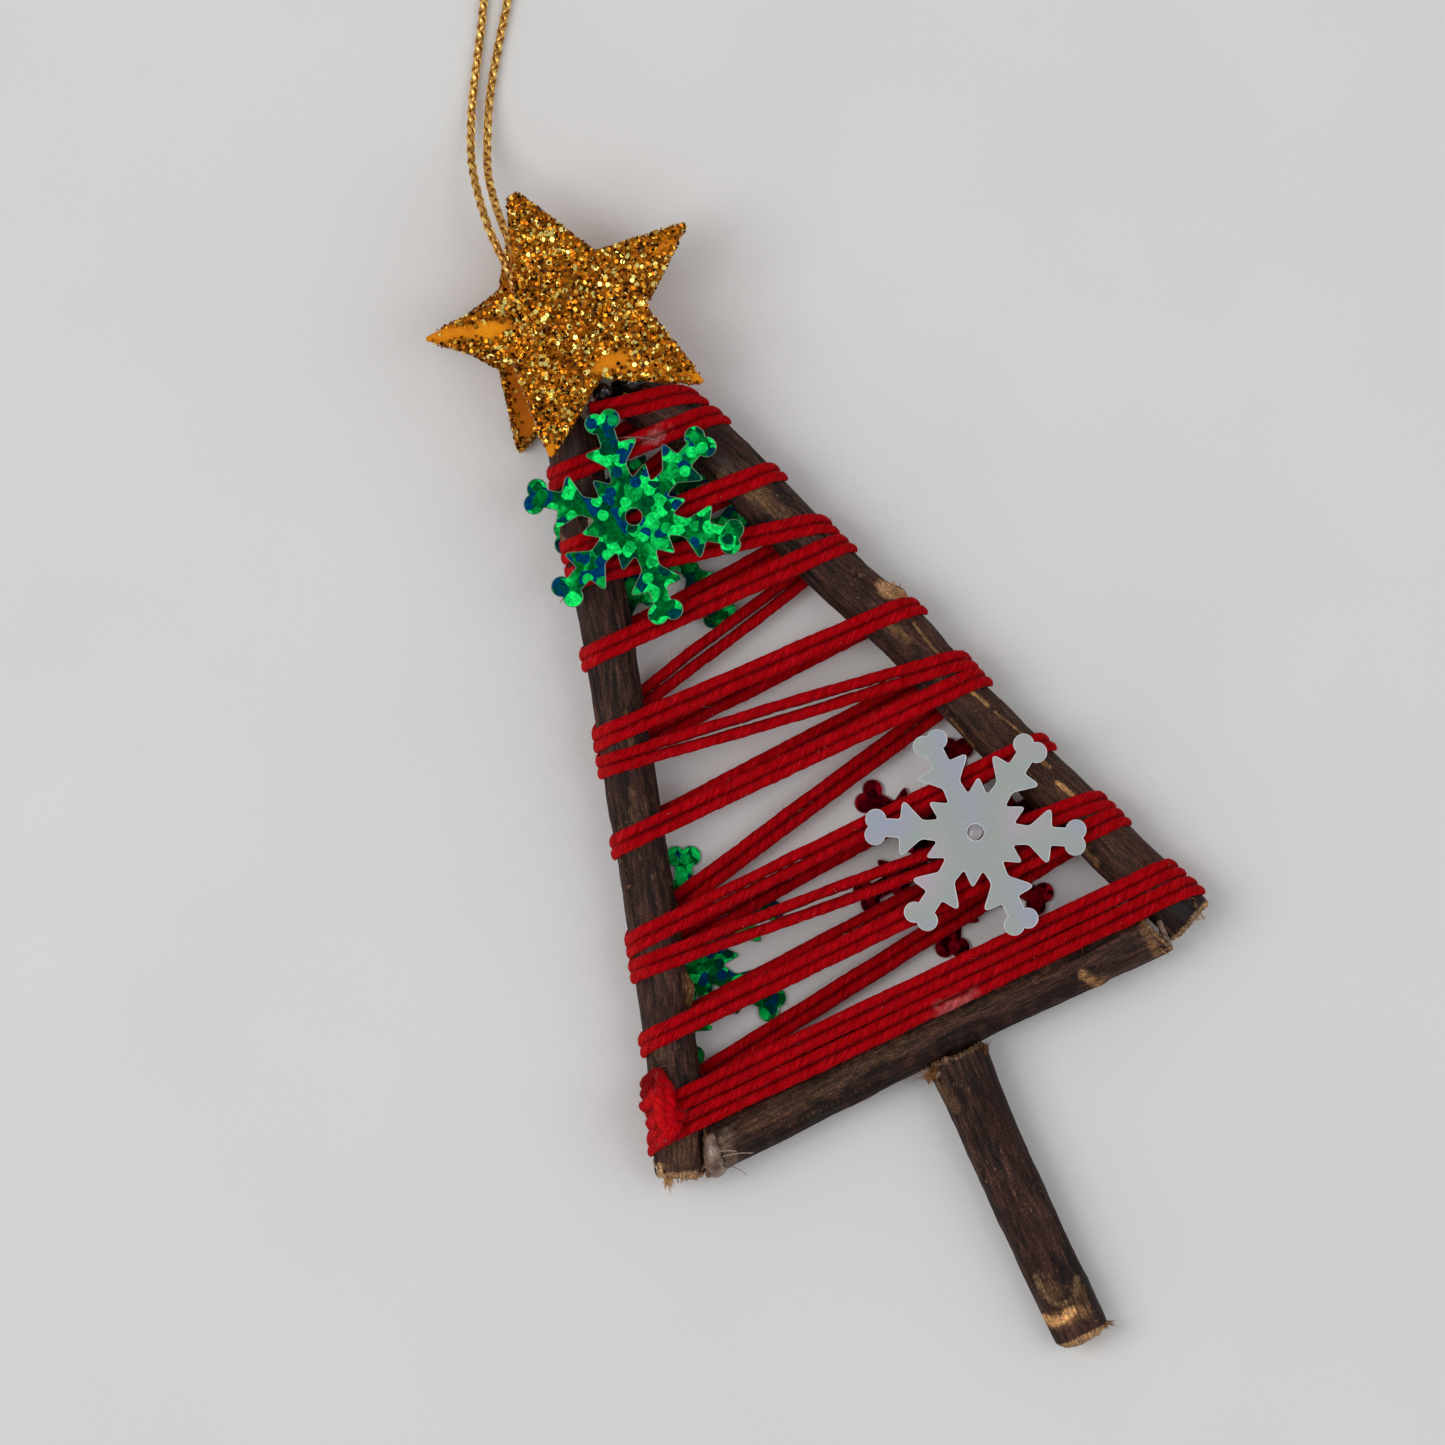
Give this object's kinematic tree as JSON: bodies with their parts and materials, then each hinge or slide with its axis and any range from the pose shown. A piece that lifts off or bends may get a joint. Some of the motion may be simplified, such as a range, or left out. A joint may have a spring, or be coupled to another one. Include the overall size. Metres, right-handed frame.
{
  "type": "christmas ornament",
  "caption": "Flat twig Christmas tree ornament wound with red yarn, with foam stars, snowflake sequins and a thin cord loop for hanging.",
  "frame": {"origin": "centre of the ornament's bounding box, without the cord, on the table that it lies on", "axes": "+Y up the tree from the trunk to the star, +Z out of the front, +X to the right seen from the front"},
  "size_m": [0.0578, 0.1647, 0.0125],
  "materials": {
    "bark": "thin dark brown bark with fine lengthwise grooves, tan flecks and bare tan cut ends",
    "yarn": "twisted crimson cotton yarn, matt and slightly fuzzy",
    "glitter_foam": "orange craft foam covered with loose gold glitter flakes",
    "sequin_green": "thin green foil plastic with a dotted hologram shimmer",
    "sequin_pearl": "thin pearl white plastic with a soft rainbow sheen",
    "sequin_red": "thin glossy deep red plastic",
    "cord_gold": "thin braided cord of gold metallic thread"
  },
  "bodies": {
    "root": {"twig_left_leg": "bark", "twig_right_leg": "bark", "twig_crossbar": "bark", "twig_trunk": "bark", "red_yarn": "yarn", "yarn_knot": "yarn", "star_front": "glitter_foam", "star_back": "glitter_foam", "sequin_front_green": "sequin_green", "sequin_front_pearl": "sequin_pearl", "sequin_back_green_upper": "sequin_green", "sequin_back_green_lower": "sequin_green", "sequin_back_red": "sequin_red", "hanging_cord": "cord_gold"}
  },
  "joints": []
}
